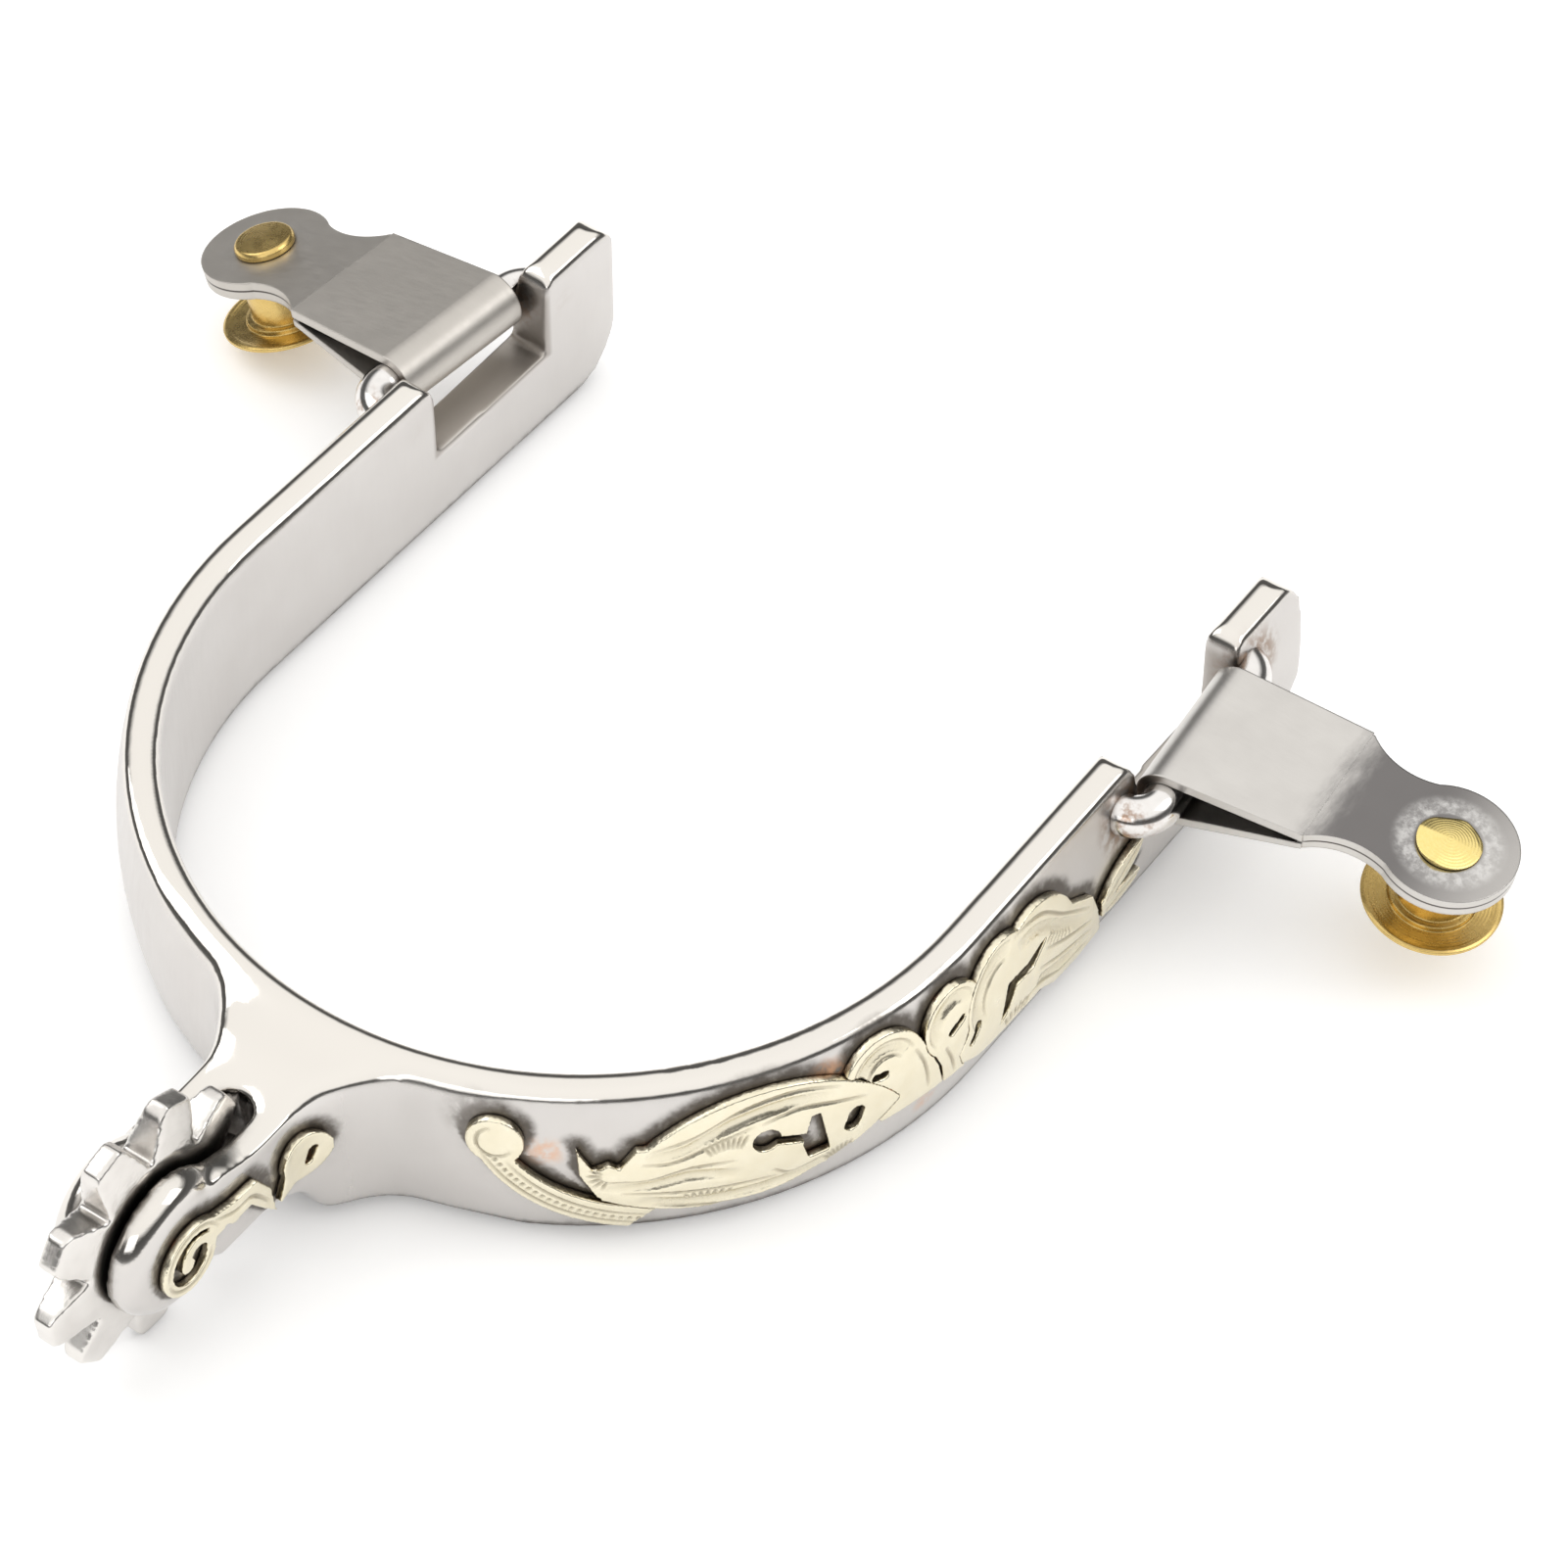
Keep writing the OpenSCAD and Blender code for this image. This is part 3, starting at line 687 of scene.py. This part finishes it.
def brass_button(side):
    """Riveted stud: head on the hanger, neck through the strap, dished flange with a collar."""
    under = -2 * SHEET
    seat = under - STRAP_GAP
    rim = FLANGE_RADIUS
    body = [
        (0, HEAD_HEIGHT), (HEAD_RADIUS - 0.25, HEAD_HEIGHT), (HEAD_RADIUS, 0.55), (HEAD_RADIUS, 0.02),
        (1.8, 0.02), (1.8, under - 0.02), (NECK_RADIUS, under - 0.02), (NECK_RADIUS, seat + 0.35),
        (NECK_RADIUS + 0.65, seat + 0.3), (NECK_RADIUS + 0.7, seat - 0.2), (rim - 0.9, seat - 0.12),
        (rim - 0.35, seat), (rim, seat - 0.1), (rim, seat - 0.45), (rim - 1.2, seat - 1.1),
        (0, seat - 1.1)
    ]
    bm = lathe(rounded(body, 0.12), 96)
    if side == "right":
        for tilt, around, depth in ((16, 118, 0.80), (15, 58, 0.80), (12, -25, 0.80), (9, -145, 0.82)):
            grind(bm, tilt, around, depth)
    bm.transform(Matrix.Scale(MM, 4) @ LOBES[side])
    bmesh.ops.recalc_face_normals(bm, faces=bm.faces)
    piece = add_mesh("brass_button_" + side, bm, brass_material(side), side + "_hanger", 20)
    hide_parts("button_" + side)


for hand in ("left", "right"):
    brass_button(hand)

# ---- engraving on the overlay --------------------------------------------------------------


def band_radius(z):
    """Outer radius of the overlay at height z, in millimetres."""
    return crowned_radius(z, OVERLAY)


def on_branch(y, z):
    """Point on the overlay of the straight branch."""
    return Vector(((band_radius(z) - y * math.sin(TOE_IN)) / math.cos(TOE_IN), y, z)) * MM


def on_heel(angle_deg):
    """Places (forward distance, height) pairs, drawn square to an angle from the shank, on the overlay."""
    turn = math.radians(angle_deg - 90)

    def place(u, z):
        out = math.sqrt(band_radius(z) ** 2 - u * u)
        x = out * math.cos(turn) - u * math.sin(turn)
        y = out * math.sin(turn) + u * math.cos(turn)
        return on_branch(y, z) if y > 0 else Vector((x, y, z)) * MM

    return place


def on_ear(y, z):
    """Point on the overlay of the right ear and the shank's right flank."""
    return Vector((EAR_FACE + OVERLAY, y, z)) * MM


def spline(p, q, r, v, t):
    """One coordinate of a Catmull-Rom curve, a share t of the way from q to r."""
    straight = 2 * q + (r - p) * t
    return 0.5 * (straight + (2 * p - 5 * q + 4 * r - v) * t * t + (3 * q - p - 3 * r + v) * t ** 3)


def through(points, count=12):
    """A smooth curve through a few pairs."""
    ends = [points[0], *points, points[-1]]
    out = []
    for a, b, c, d in zip(ends, ends[1:], ends[2:], ends[3:]):
        for i in range(count):
            t = i / count
            out.append(tuple(spline(p, q, r, v, t) for p, q, r, v in zip(a, b, c, d)))
    out.append(points[-1])
    return out


def arc(cx, cz, radius, start_deg, end_deg, count=9):
    """Pairs on an arc."""
    turns = [math.radians(start_deg + (end_deg - start_deg) * i / (count - 1)) for i in range(count)]
    return [(cx + radius * math.cos(a), cz + radius * math.sin(a)) for a in turns]


def fan(cx, cz, inner, outer, start_deg, end_deg, count):
    """Short straight cuts that radiate from a point."""
    turns = [math.radians(start_deg + (end_deg - start_deg) * i / (count - 1)) for i in range(count)]
    return [[(cx + r * math.cos(a), cz + r * math.sin(a)) for r in (inner, outer)] for a in turns]


def stroke_samples(place, strokes):
    """Points STROKE_STEP apart along each stroke, with how deep the tool is there, from 0 to 1."""
    samples = []
    for stroke in strokes:
        line = [place(u, z) for u, z in through(stroke)]
        lengths = [(q - p).length for p, q in zip(line, line[1:])]
        total = sum(lengths)
        done = 0.0
        for p, q, length in zip(line, line[1:], lengths):
            for i in range(max(1, round(length / (STROKE_STEP * MM)))):
                t = i * STROKE_STEP * MM / max(length, 1e-9)
                share = (done + length * t) / total
                samples.append((p.lerp(q, t), math.sin(math.pi * min(1.0, share)) ** 0.5))
            done += length
    return samples


def carve(piece, place, strokes, half_width_mm, depth_mm, mark):
    """Cuts round-bottomed grooves along the strokes, and notes how deep each point went."""
    samples = stroke_samples(place, strokes)
    tree = point_tree([point for point, _ in samples])
    mesh = piece.data
    cut = mesh.attributes.get("cut") or mesh.attributes.new("cut", "FLOAT", "POINT")
    normals = [v.normal.copy() for v in mesh.vertices]
    for vertex in mesh.vertices:
        _, index, distance = tree.find(vertex.co)
        across = distance / (half_width_mm * MM)
        if across < 1:
            deep = (1 - across * across) * samples[index][1]
            vertex.co -= normals[vertex.index] * deep * depth_mm * MM
            cut.data[vertex.index].value = max(cut.data[vertex.index].value, deep * mark)


def engrave(name, place, scoops, lines):
    """Broad shallow scoops first, then fine cuts, which the overlay material darkens as painted shade."""
    piece = bpy.data.objects[name]
    if scoops:
        carve(piece, place, scoops, 0.80, 0.34, 0.30)
    carve(piece, place, lines, 0.24, 0.17, 1.0)


engrave("silver_curl", on_heel(32), [], [
    arc(-4.3, 4.2, 1.6, 100, 330, 12),
    arc(11.0, 11.8, 18.75, 206, 262, 14),
    arc(11.0, 11.8, 17.35, 214, 262, 14),
    *fan(11.0, 11.8, 17.75, 18.3, 212, 259, 21),
])
engrave("silver_leaf", on_heel(52), [
    [(-9.6, -0.9), (-6.0, -1.0), (-2.4, -0.4), (1.6, -1.4)],
    [(-6.4, 2.4), (-3.0, 2.9), (1.0, 4.8), (5.6, 5.4), (10.0, 4.4)],
    [(-7.0, -3.0), (-2.0, -4.2), (4.0, -4.4), (9.6, -4.0)],
], [
    [(-9.8, -0.2), (-6.4, -0.4), (-2.6, 0.6), (1.4, 0.4)],
    [(-8.6, -1.8), (-4.4, -2.4), (0.0, -2.9), (5.0, -3.3)],
    [(-6.8, 1.8), (-4.0, 1.7), (-0.6, 3.0), (3.0, 4.0)],
    [(-6.0, 3.2), (-2.0, 4.3), (2.4, 6.2), (7.0, 6.4), (11.0, 5.0)],
    [(3.6, 3.9), (7.0, 4.4), (10.6, 3.4), (13.4, 2.4)],
    [(4.6, -2.2), (6.4, -3.6), (9.4, -3.0)],
    [(-6.0, -3.9), (0.0, -5.4), (6.0, -5.8)],
    *fan(-1.6, -8.0, 3.6, 5.4, 62, 106, 7),
    *fan(0.6, -0.6, 2.6, 4.2, 64, 120, 8),
    *fan(11.2, -5.6, 1.6, 3.2, 76, 128, 7),
    *fan(-9.4, 0.6, 0.6, 1.8, 150, 250, 5),
])
engrave("silver_scroll_small", on_heel(78), [arc(-3.4, 3.6, 2.6, 30, 200)], [
    arc(-3.4, 3.6, 3.3, 20, 200),
    arc(-3.4, 3.6, 1.9, 30, 190),
    [(-0.2, 4.4), (0.8, 1.6), (1.2, -1.6)],
])
engrave("silver_scroll_mid", on_heel(84), [arc(0.2, 4.0, 2.4, 30, 210)], [
    arc(0.2, 4.0, 2.9, 30, 210),
    [(-1.2, 1.8), (-0.4, -0.4), (0.0, -2.3)],
    [(2.2, 2.0), (1.4, 0.0), (1.0, -2.0)],
])
engrave("silver_scroll_front", on_branch, [
    arc(2.6, 2.1, 3.9, 70, 215, 10),
    [(5.0, 4.8), (8.2, 4.2), (11.6, 1.6), (15.0, -1.2)],
    [(8.0, -2.4), (11.4, -3.8), (15.6, -4.8)],
], [
    arc(2.6, 2.1, 4.6, 70, 215, 12),
    arc(2.6, 2.1, 3.1, 80, 200, 10),
    [(4.6, 6.2), (8.6, 5.6), (12.0, 2.6), (15.8, -0.2)],
    [(4.4, -3.4), (8.6, -3.4), (12.2, -5.2), (16.8, -5.6)],
    [(9.0, 0.9), (12.2, -0.9), (16.4, -2.6)],
    [(8.0, -0.9), (11.4, -2.4), (16.4, -4.0)],
    *fan(13.4, 4.2, 3.6, 5.0, 212, 262, 7),
    *fan(4.6, -7.4, 3.4, 4.8, 62, 108, 6),
])
engrave("silver_sprig", on_branch, [], [
    [(18.6, -2.4), (21.3, -0.7), (24.2, 0.9)],
    [(18.8, -3.9), (21.4, -3.6), (24.0, -3.3)],
])
engrave("silver_shank_scroll", on_ear, [], [
    arc(-61.2, 3.1, 3.35, 20, 180, 10),
    arc(-61.8, 3.1, 2.75, 185, 350, 10),
    [(-58.6, 5.4), (-56.0, 4.0), (-53.6, 3.6), (-51.6, 0.8)],
])

# ---- camera, floor and light ---------------------------------------------------------------


def add_camera():
    """A long lens from above and behind, at the photograph's angle."""
    data = bpy.data.cameras.new("camera")
    data.sensor_width = 36.0
    data.lens = 159.9
    data.clip_start = 0.01
    data.clip_end = 10.0
    camera = bpy.data.objects.new("camera", data)
    target = Vector((0.0171, 0.0051, 0.0090))
    back = Vector((0.3875, -0.5294, 0.7547)).normalized()
    camera.location = target + back * 0.600
    camera.rotation_mode = "QUATERNION"
    camera.rotation_quaternion = (-back).to_track_quat("-Z", "Y")
    bpy.context.scene.collection.objects.link(camera)
    bpy.context.scene.camera = camera


def add_floor():
    """A plain pale floor just under the lowest point of the part."""
    lowest = cad_box[0].z
    bm = bmesh.new()
    bmesh.ops.create_grid(bm, x_segments=24, y_segments=24, size=4.0)
    floor = link_mesh("floor", bm)
    floor.data.materials.append(floor_material())
    floor.location.z = lowest - 0.0002


def add_area(name, position, size, power):
    """A soft rectangular lamp that faces the origin."""
    data = bpy.data.lights.new(name, "AREA")
    data.shape = "RECTANGLE"
    data.size, data.size_y = size
    data.energy = power
    lamp = bpy.data.objects.new(name, data)
    lamp.location = position
    lamp.rotation_mode = "QUATERNION"
    lamp.rotation_quaternion = (-Vector(position)).to_track_quat("-Z", "Y")
    bpy.context.scene.collection.objects.link(lamp)


def add_world():
    """A white studio: bright overhead, with a darker band part-way up that polished metal picks up."""
    world = bpy.data.worlds.new("studio")
    world.use_nodes = True
    tree = world.node_tree
    coords = tree.nodes.new("ShaderNodeTexCoord")
    parts = tree.nodes.new("ShaderNodeSeparateXYZ")
    tree.links.new(coords.outputs["Generated"], parts.inputs[0])
    ramp = tree.nodes.new("ShaderNodeValToRGB")
    tree.links.new(parts.outputs["Z"], ramp.inputs[0])
    stops = [(0.0, 0.40), (0.10, 0.14), (0.40, 0.09), (0.52, 0.60), (0.62, 1.15), (1.0, 1.20)]
    ramp.color_ramp.elements[0].position = stops[0][0]
    ramp.color_ramp.elements[1].position = stops[-1][0]
    for place, _ in stops[1:-1]:
        ramp.color_ramp.elements.new(place)
    for element, (_, level) in zip(ramp.color_ramp.elements, stops):
        element.color = (level, level * 0.99, level * 0.975, 1)
    background = tree.nodes["Background"]
    tree.links.new(ramp.outputs[0], background.inputs[0])
    background.inputs[1].default_value = 1.05
    bpy.context.scene.world = world


add_camera()
add_floor()
add_world()
add_area("softbox_left", (-0.55, -0.15, 0.55), (0.5, 0.5), 1.2)
add_area("softbox_right", (0.55, 0.35, 0.60), (0.4, 0.4), 0.9)
add_area("softbox_front", (0.25, -0.75, 0.40), (0.5, 0.3), 0.7)
bpy.context.scene.view_settings.view_transform = "Standard"
